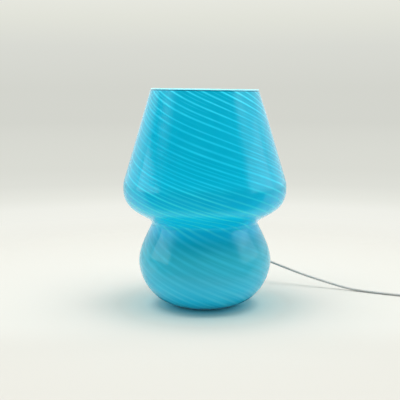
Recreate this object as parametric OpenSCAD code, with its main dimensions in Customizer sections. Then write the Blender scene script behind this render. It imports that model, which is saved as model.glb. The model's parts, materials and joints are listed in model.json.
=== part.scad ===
// Gourd table lamp: one blown glass body, shade and base in one, with a sprung
// lampholder in its neck, a screw bulb and a lead with a rocker switch and a plug.
// Millimetres, +Z up, origin on the table under the lamp's axis, lead leaves at +Y.

/* [Glass body] */
// Height of the lamp, from the table to the rim
lamp_h = 250; // [236:1:275]
// Outer radius of the open rim
rim_r = 61.4; // [52:0.1:68]
// Outer radius of the shade at its widest ring
shade_r = 93.7; // [84:0.1:100]
// Height of the shade's widest ring
shade_z = 136.6; // [130:0.1:146]
// Height over which the shoulder turns into the cone
shoulder_h = 13.8; // [8:0.1:24]
// How far the shoulder turns in before the cone starts
shoulder_in = 2.5; // [1.5:0.1:4]
// Roundness of the shade's lower edge
belly = 25.4; // [16:0.1:30]
// Angle at which the shade's underside meets the neck
under_a = 45; // [30:1:55]
// Length of the underside's straight run at the neck
under_reach = 12.9; // [6:0.1:18]
// Outer radius of the neck
neck_r = 61.3; // [54:0.1:66]
// Height of the neck
neck_z = 96.2; // [90:0.1:104]
// Radius of the groove round the neck
groove_r = 5; // [3:0.1:7]
// Angle at which the base leaves the neck
crown_a = 65; // [50:1:75]
// Length of the base's straight run at the neck
crown_reach = 10.6; // [6:0.1:16]
// Outer radius of the base at its widest ring
base_r = 76.4; // [70:0.1:80]
// Height of the base's widest ring, where the lead leaves
base_z = 52.5; // [48:0.1:58]
// Fullness of the base above its widest ring
base_upper = 15; // [9:0.1:18]
// Fullness of the base below its widest ring
base_lower = 14.2; // [10:0.1:20]
// Radius of the flat foot
foot_r = 31.5; // [27:0.1:38]
// Angle at which the base leaves the foot
foot_a = 9.4; // [6:0.1:14]
// Length of the base's flat run at the foot
foot_reach = 35.7; // [26:0.1:38]
// Thickness of the glass wall
wall = 3.2; // [2.4:0.1:4]

/* [Foot pads] */
// Number of pads under the foot
pad_n = 4; // [3:1:6]
// Radius of a pad
pad_r = 4; // [3:0.1:5]
// Thickness of a pad
pad_h = 0.8; // [0.5:0.1:1.5]
// Distance of the pads from the foot's edge
pad_inset = 3; // [1:0.1:6]

/* [Spring clip] */
// Number of sprung arms
arm_n = 3; // [3:1:4]
// Width of an arm
arm_w = 9; // [6:0.1:12]
// Thickness of the spring steel
clip_t = 1.2; // [0.8:0.1:1.6]
// Radius of the clip's plate
hub_r = 14; // [13:0.1:17]
// Drop of the plate's top face below the neck
hub_drop = 6.2; // [4:0.1:9]
// Depth of the bow in each arm
arm_bow = 5; // [2:0.1:7]
// Thickness of the sleeve on an arm's end
sleeve_t = 1; // [0.6:0.1:1.4]
// Gap between a sleeve and the glass
sleeve_gap = 0.2; // [0.1:0.05:0.3]

/* [Threaded tube] */
// Outer radius of the threaded tube
tube_r = 5; // [4.5:0.1:6]
// Bore radius of the threaded tube
tube_bore_r = 4; // [3:0.1:4.2]
// Length of the tube below the plate
tube_below = 9; // [7.5:0.1:12]
// Length of the tube above the plate
tube_above = 8; // [5:0.1:10]
// Thickness of the lock nut
nut_t = 3.4; // [2.5:0.1:4.5]
// Width of the lock nut across its flats
nut_af = 14; // [13:0.1:16]
// Thickness of the toothed washer
washer_t = 0.8; // [0.5:0.1:1.2]
// Clearance of parts on the threaded tube
tube_clear = 0.15; // [0.1:0.05:0.25]

/* [Lampholder] */
// Outer radius of the holder
holder_r = 19.5; // [18.5:0.1:22]
// Height of the holder's cap
cap_h = 23; // [20:0.1:28]
// Height of the holder's body above its cap
body_h = 35; // [30:0.1:38]
// Wall of the holder's mouldings
holder_wall = 2.2; // [1.8:0.1:2.6]
// Radius of the cap's foot on the plate
cap_foot_r = 12; // [9:0.1:12.8]
// Thickness of the insulating seat
seat_h = 4.5; // [3.5:0.1:6]
// Inner radius of the screw shell
shell_r = 13.4; // [13.3:0.05:14]
// Thickness of the screw shell
shell_t = 0.5; // [0.4:0.05:0.7]
// Height of the screw shell
shell_h = 21; // [16:0.1:23]
// Height of the sprung centre contact above the seat
contact_h = 2.2; // [1.6:0.1:3]
// Clearance between the holder's own pieces
holder_clear = 0.15; // [0.1:0.05:0.3]

/* [Bulb] */
// Outer radius of the bulb's screw cap
screw_r = 13.1; // [12.6:0.05:13.1]
// Height of the bulb's metal cap
screw_h = 22.5; // [20:0.1:24]
// Thickness of the cap's metal
screw_t = 0.4; // [0.3:0.05:0.6]
// Radius of the globe
globe_r = 30; // [22:0.1:34]
// Height of the globe's centre above the cap
globe_rise = 50; // [44:0.1:52]
// Height of the bulb's white housing above the cap
housing_h = 30; // [22:0.1:34]
// Thickness of the globe's wall
globe_t = 1; // [0.7:0.1:1.5]
// Radius of the eyelet under the cap
eyelet_r = 4.6; // [4:0.1:5]

/* [Lead and its bush] */
// Diameter of the lead
lead_d = 2.8; // [2.4:0.1:3]
// Radius of the hole in the glass
hole_r = 4.2; // [3.8:0.1:5]
// Length of the bush's tapered tail outside the glass
tail_l = 20; // [18:0.1:26]
// Thickness of the bush's flanges
flange_t = 1.5; // [1:0.1:2.2]
// How far the flanges reach past the hole
flange_w = 2.6; // [1.5:0.1:3.5]
// Clearance round the lead and round the bush
bush_clear = 0.15; // [0.1:0.05:0.2]

/* [Rocker switch] */
// Length of the switch
switch_l = 60; // [56:1:66]
// Width of the switch
switch_w = 20; // [19:0.5:24]
// Height of the switch's lower half, where it parts
part_z = 7; // [6.5:0.1:8]
// Height of the switch's cover
cover_h = 7.4; // [7:0.1:8.5]
// Length of the rocker
rocker_l = 21; // [18:0.1:23]
// Width of the rocker
rocker_w = 10.8; // [9.5:0.1:11.5]
// Height of the rocker's pivot above the parting face
pivot_rise = 4.2; // [3.6:0.1:4.8]
// Radius of the rocker's pivot pins
pivot_r = 1.2; // [0.9:0.05:1.4]
// Half of the rocker's travel
rocker_a = 8; // [6:0.5:9]
// Gap round the rocker
rocker_gap = 0.25; // [0.2:0.05:0.4]

/* [Plug] */
// Depth of the plug's body
plug_l = 26; // [24:0.5:30]
// Width of the plug's body
plug_w = 34; // [32:0.5:36]
// Height of the plug's body
plug_h = 13.6; // [13:0.1:15]
// Distance between the pins' axes
pin_pitch = 18.6; // [18:0.1:19.2]
// Radius of a pin
pin_r = 2; // [1.9:0.05:2.4]
// Length of a pin
pin_l = 19; // [18:0.1:20]
// Length of the insulating sleeve on a pin
pin_sleeve_l = 10; // [8:0.1:11]
// Length of the plug's tapered neck
plug_neck_l = 12; // [10:0.5:18]

/* [Stored coil] */
// Loops in each layer of the coil
coil_loops = 2.9375; // [2.9375:1:4.9375]
// Radius of the innermost loop, to the lead's centre
coil_r = 11.2; // [11.2:0.1:14]
// Distance between loops, to their centres
coil_pitch = 3.7; // [3.65:0.05:4]
// Thickness of the tie
tie_t = 0.6; // [0.5:0.1:1]
// Width of the tie
tie_w = 8; // [5:0.5:10]

/* [Hidden] */
$fn = 64;
lead_r = lead_d / 2;
lead_sides = 8;

function polar(a) = [cos(a), sin(a)];
function unit(v) = v / norm(v);
function flip(list) = [for (i = [len(list) - 1:-1:0]) list[i]];
function arc(c, r, a0, a1, n) = [for (i = [0:n]) c + r * polar(a0 + (a1 - a0) * i / n)];
function curve(a, b, c, d, n) =
    [for (i = [1:n]) let (t = i / n, s = 1 - t)
        s * s * s * a + 3 * s * s * t * b + 3 * s * t * t * c + t * t * t * d];

// Outline of the glass, radius and height, from the rim down to the foot
cone_end = [shade_r - shoulder_in, shade_z + shoulder_h];
cone_a = atan2(cone_end.x - rim_r, lamp_h - cone_end.y);
rim_pt = [rim_r, lamp_h - wall / 2 * (1 - sin(cone_a))];
cone_dir = unit(cone_end - rim_pt);
shoulder_reach = shoulder_h * 0.45;
shade_pt = [shade_r, shade_z];
neck_c = [neck_r + groove_r, neck_z];
under_pt = neck_c + groove_r * polar(90 + under_a);
crown_pt = neck_c + groove_r * polar(270 - crown_a);
base_pt = [base_r, base_z];
foot_pt = [foot_r, pad_h];
glass_outer = concat(
    [rim_pt, cone_end],
    curve(cone_end, cone_end + shoulder_reach * cone_dir,
        shade_pt + [0, shoulder_reach], shade_pt, 10),
    curve(shade_pt, shade_pt - [0, belly],
        under_pt + under_reach * polar(under_a), under_pt, 14),
    [for (i = [1:8]) neck_c + groove_r * polar(90 + under_a + (180 - under_a - crown_a) * i / 8)],
    curve(crown_pt, crown_pt + crown_reach * polar(-crown_a),
        base_pt + [0, base_upper], base_pt, 14),
    curve(base_pt, base_pt - [0, base_lower],
        foot_pt + foot_reach * polar(foot_a), foot_pt, 16));

// The same outline, moved in by the wall
function inward(p, i) =
    let (a = p[max(i - 1, 0)], b = p[min(i + 1, len(p) - 1)], t = unit(b - a)) [t.y, -t.x];
glass_inner = [for (i = [0:len(glass_outer) - 1]) glass_outer[i] + wall * inward(glass_outer, i)];
rim_mid = (rim_pt + glass_inner[0]) / 2;

// A tube along a route: rings of points square to the route, joined by triangles
function heading(p, i) = unit(p[min(i + 1, len(p) - 1)] - p[max(i - 1, 0)]);
function ring(c, t, r, sides) =
    let (side = unit(cross([0, 0, 1], abs(t.z) > 0.94 ? [0, -1, 0] : t)), up = cross(t, side))
    let (s2 = unit(side - (side * t) * t), u2 = cross(t, s2))
    [for (k = [0:sides - 1]) let (a = 360 * (k + 0.5) / sides) c + r * (cos(a) * s2 + sin(a) * u2)];

module tube(route, r, sides) {
    last = len(route) - 1;
    points = [for (i = [0:last]) each ring(route[i], heading(route, i), r, sides)];
    ends = [[for (k = [0:sides - 1]) sides - 1 - k], [for (k = [0:sides - 1]) last * sides + k]];
    sleeves = [for (i = [0:last - 1], k = [0:sides - 1])
        let (a = i * sides + k, b = i * sides + (k + 1) % sides)
        each [[a, b, b + sides], [a, b + sides, a + sides]]];
    polyhedron(points = points, faces = concat(ends, sleeves), convexity = 10);
}

// A smooth route through points, with two steps from each to the next
function between(a, b, c, d, t) =
    0.5 * (2 * b + (c - a) * t + (2 * a - 5 * b + 4 * c - d) * t * t
        + (3 * b - a - 3 * c + d) * t * t * t);
function smooth(p, steps) = concat(
    [for (i = [0:len(p) - 2], k = [0:steps - 1])
        between(p[max(i - 1, 0)], p[i], p[i + 1], p[min(i + 2, len(p) - 1)], k / steps)],
    [p[len(p) - 1]]);

// Levels up the lampholder and the bulb
hub_z = neck_z - hub_drop;
seat_z = hub_z + cap_h + holder_wall + holder_clear;
contact_z = seat_z + seat_h;
bulb_z = contact_z + contact_h + 0.1;
eyelet_h = 1.6;
glass_bead_h = 3;
screw_z = bulb_z + eyelet_h + glass_bead_h;
collar_z = screw_z + screw_h;

// Saddle of the clip's arms, on the ridge that the groove raises inside the neck
ridge_r = groove_r + wall;
saddle_trim = 3;
saddle_a0 = 90 + under_a + saddle_trim;
saddle_a1 = 270 - crown_a - saddle_trim;
sleeve_r = ridge_r + sleeve_gap;
steel_r = sleeve_r + sleeve_t + 0.05;

// Bush in the glass, clear of the wall where it curves away from the flange
bush_y = base_r;
tail_y = bush_y + flange_t + tail_l;
wall_bow = 1.6;
inner_wall_y = base_r - wall - wall_bow;
bush_r = hole_r - bush_clear;

// Route of the lead outside, from within the bush, in the air and on the table
run_1 = [
    [0, 76, 52.5], [0, 86, 52.5],
    [0, 96, 52.5], [0.3, 103, 52.5], [3.4, 110.5, 52], [9.5, 117, 50.9], [18.5, 120.8, 49],
    [29, 121, 46.3], [41, 117.4, 42.7], [55, 111.2, 38.1], [71, 103.8, 32.9], [87, 96.6, 27.5],
    [104, 89.3, 21.9], [121, 82.3, 16.6], [138, 75.4, 11.9], [155, 68.4, 7.7], [170, 61.8, 4.3],
    [184, 55, 2.2], [198, 47.8, 1.5], [212, 40.6, 1.4], [226, 33.8, 1.4], [240, 27.7, 1.4],
    [252, 23.3, 2.2], [262, 20.9, 4.4], [271, 20, 6.4], [280, 20, 7], [290, 20, 7]];
switch_x = 310;
switch_y = 20;
run_2 = [
    [330, 20, 7], [340, 20, 7], [348, 19, 6.8], [355, 15, 6], [359, 8, 5], [359.5, 0, 4.1],
    [358.4, -8, 3.3], [357, -16, 2.6], [356.5, -21, 2.4], [356.5, -24.7, 2.3]];
run_3 = [
    [331.6, -49.6, 13.4], [327, -49.6, 13.1], [321.5, -51, 12], [316, -55.5, 10.4],
    [311, -61.5, 8.9], [306, -67, 7.7], [300, -69.6, 6.9], [294, -70, 6.8]];
plug_x = 256;
plug_y = -70;

// Route of the lead inside, from the holder through the tube to the bush
core_z = hub_z + tube_above + 3;
run_0 = [
    [0, 0, core_z], [0, 0, hub_z], [0, 0, hub_z - tube_below], [0, 1.5, 68], [0, 7, 55],
    [0, 17, 45], [0, 30, 40], [0, 43, 41.5], [0, 54, 46.5], [0, 61, base_z - 1.4],
    [0, 67, base_z], [0, 76, base_z]];

// The coil: four layers of loops, in and out again, each layer a pitch above the last
coil_out_r = coil_r + coil_pitch * coil_loops;
coil_x = 356.5 - coil_out_r;
coil_y = coil_out_r - 49.6;
coil_z = lead_r + tie_t + 0.3;
coil_layers = 4;
coil_turns = coil_layers * (coil_loops + 0.5) - 0.5;
coil_steps = 24;
function ease(t) = t * t * (3 - 2 * t);
function coil_at(u) =
    let (k = min(floor(u / (coil_loops + 0.5)), coil_layers - 1), v = u - k * (coil_loops + 0.5))
    let (in_layer = coil_pitch * min(v, coil_loops), climb = ease(max(v - coil_loops, 0) * 2))
    let (r = k % 2 == 0 ? coil_out_r - in_layer : coil_r + in_layer)
    [coil_x + r * cos(-360 * u), coil_y + r * sin(-360 * u), coil_z + coil_pitch * (k + climb)];
coil_turn = [for (i = [0:round(coil_turns * coil_steps)]) coil_at(i / coil_steps)];
coil_route = concat([coil_turn[0] + [0, lead_d, 0]], coil_turn,
    [coil_turn[len(coil_turn) - 1] - [lead_d, 0, 0]]);
coil_gap = min([for (i = [0:len(coil_turn) - 1], j = [i + coil_steps / 2:len(coil_turn) - 1])
    norm(coil_turn[j] - coil_turn[i])]) - lead_d;
echo(coil_gap = coil_gap);

glass_blue = [0.02, 0.64, 0.8];
steel = [0.78, 0.79, 0.8];
brass = [0.83, 0.68, 0.36];
white_plastic = [0.93, 0.93, 0.91];
black_plastic = [0.12, 0.12, 0.13];
clear_rubber = [0.86, 0.88, 0.88];
lead_grey = [0.66, 0.68, 0.67];

// The hole's cutter runs this far past the wall, inside and out
cut_over = 6;

module glass_body() {
    color(glass_blue)
    difference() {
        rotate_extrude($fn = 96)
            polygon(concat(glass_outer, [[0, pad_h], [0, pad_h + wall]], flip(glass_inner),
                arc(rim_mid, wall / 2, 180 + cone_a - 20, cone_a + 20, 7)));
        // The hole, turned about its axis so that its seam misses the widest ring
        translate([0, base_r - wall - cut_over, base_z])
            rotate([-90, 0, 0])
            rotate(45)
            cylinder(r = hole_r, h = wall + 2 * cut_over);
    }
}

module foot_pads() {
    color(clear_rubber)
    for (i = [0:pad_n - 1])
        rotate(360 / pad_n * i)
        translate([foot_r - pad_inset - pad_r, 0, 0])
        cylinder(r = pad_r, h = pad_h, $fn = 32);
}

// Turned about the hole's axis: flanges each side of the glass and a tapered tail
module cord_bush() {
    bore = lead_r + bush_clear;
    flange_r = hole_r + flange_w;
    color(clear_rubber)
    translate([0, 0, base_z])
    rotate([-90, 0, 0])
    rotate_extrude($fn = 48)
        polygon([
            [bore, inner_wall_y - flange_t], [flange_r - 0.5, inner_wall_y - flange_t],
            [flange_r, inner_wall_y - flange_t + 0.5], [flange_r, inner_wall_y],
            [bush_r, inner_wall_y], [bush_r, bush_y + 0.15], [flange_r, bush_y - 0.2],
            [flange_r, bush_y + flange_t - 0.7], [flange_r - 0.7, bush_y + flange_t],
            [bush_r, bush_y + flange_t + 0.6], [lead_r + 0.8, tail_y - 0.5],
            [lead_r + 0.5, tail_y], [bore, tail_y]]);
}

// One arm, in the plane of the axis: from the plate, bowed down, up to its saddle
arm_start = [hub_r - 2, hub_z - clip_t / 2];
arm_below_middle = 6;
arm_end = neck_c + (steel_r + clip_t / 2) * polar((saddle_a0 + saddle_a1) / 2 + arm_below_middle);
arm_line = concat([arm_start], curve(arm_start, arm_start + [14, -arm_bow],
    arm_end + [-12, -arm_bow], arm_end, 12));

module strip(line, t) {
    n = [for (i = [0:len(line) - 1]) inward(line, i)];
    polygon(concat([for (i = [0:len(line) - 1]) line[i] + t / 2 * n[i]],
        flip([for (i = [0:len(line) - 1]) line[i] - t / 2 * n[i]])));
}

module saddle_band(r, t) {
    polygon(concat(arc(neck_c, r, saddle_a0, saddle_a1, 10),
        flip(arc(neck_c, r + t, saddle_a0, saddle_a1, 10))));
}

module each_arm() {
    for (i = [0:arm_n - 1])
        rotate(360 / arm_n * i - 90)
        children();
}

saddle_turn = 2 * asin(arm_w / 2 / (neck_r - wall));

module spring_clip() {
    color(steel)
    difference() {
        union() {
            translate([0, 0, hub_z - clip_t])
                cylinder(r = hub_r, h = clip_t);
            each_arm() {
                rotate([90, 0, 0])
                    translate([0, 0, -arm_w / 2])
                    linear_extrude(arm_w)
                    strip(arm_line, clip_t);
                rotate(-saddle_turn / 2)
                    rotate_extrude(angle = saddle_turn, $fn = 96)
                    saddle_band(steel_r, clip_t);
            }
        }
        translate([0, 0, hub_z - clip_t - 1])
            cylinder(r = tube_r + tube_clear, h = clip_t + 2);
    }
}

module clip_sleeves() {
    color(clear_rubber)
    each_arm()
        rotate(-saddle_turn / 2)
        rotate_extrude(angle = saddle_turn, $fn = 96)
        saddle_band(sleeve_r, sleeve_t);
}

module threaded_tube() {
    color(brass)
    translate([0, 0, hub_z - tube_below])
    difference() {
        cylinder(r = tube_r, h = tube_below + tube_above);
        translate([0, 0, -1])
            cylinder(r = tube_bore_r, h = tube_below + tube_above + 2);
    }
}

module lock_nut() {
    color(steel)
    translate([0, 0, hub_z - clip_t - washer_t - nut_t])
    difference() {
        intersection() {
            cylinder(d = nut_af / cos(30), h = nut_t, $fn = 6);
            rotate_extrude()
                polygon([[0, 0], [nut_af / 2, 0], [nut_af / 2 + 1.2, 0.7], [nut_af / 2 + 1.2, nut_t],
                    [0, nut_t]]);
        }
        translate([0, 0, -1])
            cylinder(r = tube_r + tube_clear, h = nut_t + 2);
    }
}

module tooth_washer() {
    teeth = 10;
    ring_r = tube_r + 1.6;
    color(steel)
    translate([0, 0, hub_z - clip_t - washer_t])
    difference() {
        union() {
            cylinder(r = ring_r, h = washer_t);
            for (i = [0:teeth - 1])
                rotate(360 / teeth * i)
                translate([ring_r - 0.3, -0.8, 0])
                cube([1.5, 1.6, washer_t]);
        }
        translate([0, 0, -1])
            cylinder(r = tube_r + tube_clear, h = washer_t + 2);
    }
}

module holder_cap() {
    floor_t = holder_wall + 0.4;
    bell_h = cap_h * 0.55;
    outside = concat([[cap_foot_r, 0]], curve([cap_foot_r, 0], [cap_foot_r + 1, bell_h * 0.45],
        [holder_r, bell_h * 0.4], [holder_r, bell_h], 10), [[holder_r, cap_h]]);
    inside = concat([[cap_foot_r - holder_wall + 0.6, floor_t]],
        curve([cap_foot_r - holder_wall + 0.6, floor_t],
            [cap_foot_r - holder_wall + 1.4, bell_h * 0.6],
            [holder_r - holder_wall, bell_h * 0.5], [holder_r - holder_wall, bell_h + 1], 10),
        [[holder_r - holder_wall, cap_h]]);
    bore = tube_r + tube_clear;
    color(white_plastic)
    translate([0, 0, hub_z])
    rotate_extrude()
        polygon(concat([[bore, 0]], outside, flip(inside), [[bore, floor_t]]));
}

module holder_body() {
    z0 = hub_z + cap_h;
    spigot_r = holder_r - holder_wall - holder_clear;
    bore = shell_r + shell_t + holder_clear;
    rim = bore + 2.8;
    ledge = bore - 1;
    color(white_plastic)
    rotate_extrude()
        polygon(concat(
            [[spigot_r - 2, z0 - 5], [spigot_r, z0 - 5], [spigot_r, z0 + holder_clear],
                [holder_r - 0.8, z0 + holder_clear], [holder_r, z0 + 0.8], [holder_r, z0 + 5],
                [holder_r - 1, z0 + 6]],
            curve([holder_r - 1, z0 + 6], [rim + 0.6, z0 + 9], [rim, z0 + 15],
                [rim, z0 + body_h - 3], 8),
            arc([rim - 1.4, z0 + body_h - 1.4], 1.4, 0, 90, 5),
            [[bore + 0.6, z0 + body_h], [bore, z0 + body_h - 0.6], [bore, z0 + holder_wall],
                [ledge, z0 + holder_wall], [ledge, z0], [spigot_r - 2, z0 - 1]]));
}

// The shell that the bulb screws into, on an inward flange
module screw_shell() {
    color(brass)
    translate([0, 0, contact_z])
    rotate_extrude()
        polygon([[10, 0], [shell_r + shell_t, 0], [shell_r + shell_t, shell_h],
            [shell_r, shell_h], [shell_r, shell_t], [10, shell_t]]);
}

post_r = 2.2;
post_a_x = 6.5;
post_b_x = -10.4;
post_h = 9;

module insulator_seat() {
    color(white_plastic)
    translate([0, 0, seat_z])
    difference() {
        cylinder(r = shell_r + shell_t, h = seat_h);
        for (x = [post_a_x, post_b_x])
            translate([x, 0, -1])
            cylinder(r = post_r + 0.1, h = seat_h + 2, $fn = 32);
    }
}

module centre_contact() {
    t = 0.5;
    color(brass)
    translate([0, 3, contact_z])
    rotate([90, 0, 0])
    linear_extrude(6)
        polygon([[8.8, 0], [8.8, t], [4.6, t], [2.6, contact_h], [-3.2, contact_h],
            [-4.4, contact_h - 1], [-4, contact_h - 1.4], [-2.9, contact_h - t],
            [2.3, contact_h - t], [4.2, 0]]);
}

module terminal_posts() {
    color(brass)
    for (x = [post_a_x, post_b_x])
        translate([x, 0, seat_z - post_h])
        difference() {
            cylinder(r = post_r, h = post_h + seat_h, $fn = 32);
            translate([0, 0, 3])
                rotate([90, 0, 0])
                cylinder(r = 1.3, h = post_r + 1, $fn = 24);
        }
}

module terminal_screws() {
    color(steel)
    for (x = [post_a_x, post_b_x])
        translate([x, 0, seat_z - post_h + 3])
        rotate([90, 0, 0])
        difference() {
            union() {
                translate([0, 0, 0.6])
                    cylinder(r = 1.2, h = 2, $fn = 24);
                translate([0, 0, post_r + 0.1])
                    cylinder(r = 1.9, h = 1.5, $fn = 24);
            }
            translate([-3, -0.25, post_r + 1])
                cube([6, 0.5, 1]);
        }
}

// Collar on the tube's top that grips the lead
module cord_grip() {
    z0 = holder_wall + 0.7;
    color(white_plastic)
    translate([0, 0, hub_z])
    rotate_extrude()
        polygon([[tube_r + tube_clear, z0], [7.6, z0], [7.6, tube_above + 1],
            [6.4, tube_above + 2.4], [lead_r + bush_clear, tube_above + 2.4],
            [lead_r + bush_clear, tube_above + 0.2], [tube_r + tube_clear, tube_above + 0.2]]);
}

module inner_lead() {
    color(lead_grey)
    tube(run_0, lead_r, lead_sides);
}

core_r = 0.6;
core_gap = 0.05;

// The two cores leave the lead straight, spread, and meet the posts' feet straight
module wire_cores() {
    post_z = seat_z - post_h - core_gap;
    lead_end = core_z + core_gap;
    color("lightblue")
    tube([[0.7, 0, lead_end], [0.7, 0, lead_end + 0.8], [1.6, 0, lead_end + 1.8],
        [post_a_x - 1, 0, post_z - 2.2], [post_a_x, 0, post_z - 0.9], [post_a_x, 0, post_z]],
        core_r, 6);
    color("sienna")
    tube([[-0.7, 0, lead_end], [-0.7, 0, lead_end + 0.8], [-1.8, 0, lead_end + 1.6],
        [post_b_x + 2, 0, post_z - 2], [post_b_x, 0, post_z - 0.9], [post_b_x, 0, post_z]],
        core_r, 6);
}

module bulb_eyelet() {
    color(steel)
    translate([0, 0, bulb_z])
    rotate_extrude($fn = 48)
        polygon([[0, 0], [eyelet_r - 1.8, 0], [eyelet_r - 0.6, 0.5], [eyelet_r, eyelet_h],
            [0, eyelet_h]]);
}

module bulb_glass_bead() {
    color(black_plastic)
    translate([0, 0, bulb_z + eyelet_h])
    rotate_extrude($fn = 48)
        polygon([[0, 0.05], [eyelet_r + 0.2, 0.05], [screw_r - 2, glass_bead_h - 0.4],
            [screw_r - 2, glass_bead_h], [0, glass_bead_h]]);
}

// A cup of thin metal, open at the top, that the housing closes
module bulb_screw_cap() {
    color(steel)
    translate([0, 0, screw_z])
    rotate_extrude()
        polygon([[0, 0], [screw_r - 1.6, 0], [screw_r, 1.8], [screw_r, screw_h],
            [screw_r - screw_t, screw_h], [screw_r - screw_t, 2.2], [screw_r - 2, 0.6], [0, 0.6]]);
}

seam_r = sqrt(globe_r * globe_r - (globe_rise - housing_h) * (globe_rise - housing_h));

module bulb_housing() {
    neck = screw_r - screw_t - 0.1;
    color(white_plastic)
    translate([0, 0, collar_z])
    rotate_extrude()
        polygon(concat([[0, -5], [neck, -5], [neck, 0.05], [screw_r + 0.7, 0.05],
            [screw_r + 1, 1.2], [screw_r + 1, 3.4]],
            curve([screw_r + 1, 3.4], [screw_r + 1.8, housing_h * 0.45],
                [seam_r * 0.86, housing_h * 0.7], [seam_r, housing_h], 10),
            [[0, housing_h]]));
}

module bulb_globe() {
    seam_a = asin((housing_h - globe_rise) / globe_r);
    in_r = globe_r - globe_t;
    color([0.96, 0.96, 0.94])
    translate([0, 0, collar_z + globe_rise])
    rotate_extrude()
        polygon(concat(arc([0, 0], globe_r, seam_a + 0.3, 90, 24),
            flip(arc([0, 0], in_r, seam_a + 0.3, 90, 24))));
}

module cord_to_switch() {
    color(lead_grey)
    tube(smooth(run_1, 2), lead_r, lead_sides);
}

module cord_to_coil() {
    color(lead_grey)
    tube(run_2, lead_r, lead_sides);
}

module cord_coil() {
    color(lead_grey)
    tube(coil_route, lead_r, 6);
}

module cord_to_plug() {
    color(lead_grey)
    tube(run_3, lead_r, lead_sides);
}

// A strap round the bundle of loops
module coil_tie() {
    clear = 0.3;
    x0 = sqrt(coil_r * coil_r - tie_w * tie_w / 4) - lead_r - clear;
    x1 = coil_out_r + lead_r + clear;
    z1 = coil_z + coil_pitch * (coil_layers - 1) + lead_r + clear;
    round_r = 1.2;
    module corner_rect(a, b, r) {
        polygon(concat(
            arc([b.x - r, b.y - r], r, 0, 90, 4), arc([a.x + r, b.y - r], r, 90, 180, 4),
            arc([a.x + r, a.y + r], r, 180, 270, 4), arc([b.x - r, a.y + r], r, 270, 360, 4)));
    }
    color(black_plastic)
    translate([coil_x, coil_y + tie_w / 2, 0])
    rotate([90, 0, 0])
    linear_extrude(tie_w)
        difference() {
            corner_rect([-x1 - tie_t, 0], [-x0 + tie_t, z1 + tie_t], round_r);
            corner_rect([-x1, tie_t], [-x0, z1], round_r - tie_t);
        }
}

// Outline of the switch from above, a waisted lozenge with round ends
module switch_plan() {
    end_r = 3;
    end_y = switch_w * 0.1;
    mid_r = switch_w * 0.3;
    mid = [switch_l / 2 - 16, switch_w / 2 - mid_r];
    quarter = concat(arc([switch_l / 2 - end_r, end_y], end_r, 0, 69, 5), arc(mid, mid_r, 69, 90, 3));
    left = flip([for (p = quarter) [-p.x, p.y]]);
    top = concat(quarter, left);
    polygon(concat(top, flip([for (p = top) [p.x, -p.y]])));
}

// A half of the switch: its plan, with the long and the end edges rounded by r
module switch_half(z0, z1, r, up) {
    module side(w) {
        pts = concat(arc([w / 2 - r, 0], r, 0, 90, 5), arc([r - w / 2, 0], r, 90, 180, 5));
        shift = z1 - z0 - r;
        raised = [for (p = pts) [p.x, p.y + shift]];
        outline = concat([[w / 2, 0]], raised, [[-w / 2, 0]]);
        polygon(up ? outline : [for (p = outline) [p.x, z1 - z0 - p.y]]);
    }
    translate([switch_x, switch_y, z0])
    intersection() {
        linear_extrude(z1 - z0)
            switch_plan();
        translate([0, switch_w, 0])
            rotate([90, 0, 0])
            linear_extrude(2 * switch_w)
            side(switch_l);
        rotate([90, 0, 90])
            translate([0, 0, -switch_l])
            linear_extrude(2 * switch_l)
            side(switch_w);
    }
}

rocker_top = 3.4;
rocker_dip = 1.2;
rocker_reach = norm([rocker_l / 2, rocker_top]);
pocket_l = switch_l - 22;
pocket_w = 8.4;
pocket_z = 2.2;
screw_x = 15.5;
screw_y = 6.2;

module switch_bore() {
    translate([switch_x - switch_l, switch_y, part_z])
        rotate([0, 90, 0])
        cylinder(r = lead_r + bush_clear, h = 2 * switch_l, $fn = 32);
}

module each_switch_screw() {
    for (side = [-1, 1])
        translate([switch_x + side * screw_x, switch_y - side * screw_y, 0])
        children();
}

module switch_base() {
    color(white_plastic)
    difference() {
        switch_half(0, part_z - 0.05, 1.6, false);
        switch_bore();
        translate([switch_x - pocket_l / 2, switch_y - pocket_w / 2, pocket_z])
            cube([pocket_l, pocket_w, part_z]);
        each_switch_screw() {
            translate([0, 0, -1])
                cylinder(r = 1.4, h = part_z + 2, $fn = 24);
            translate([0, 0, -1])
                cylinder(r = 2.2, h = 3, $fn = 24);
        }
    }
}

module switch_cover() {
    window_l = 2 * (rocker_reach + rocker_gap);
    window_w = rocker_w + 2 * rocker_gap;
    color(white_plastic)
    difference() {
        switch_half(part_z, part_z + cover_h, 3, true);
        switch_bore();
        translate([switch_x - window_l / 2, switch_y - window_w / 2, part_z - 1])
            cube([window_l, window_w, cover_h + 2]);
        translate([switch_x - pocket_l / 2, switch_y - pocket_w / 2, part_z - 1])
            cube([pocket_l, pocket_w, 2.6]);
        translate([switch_x, switch_y + rocker_w / 2 + 1.6, part_z + pivot_rise])
            rotate([90, 0, 0])
            cylinder(r = pivot_r + 0.08, h = rocker_w + 3.2, $fn = 32);
        each_switch_screw()
            translate([0, 0, part_z - 1])
            cylinder(r = 1.3, h = 5.6, $fn = 24);
    }
}

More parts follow.
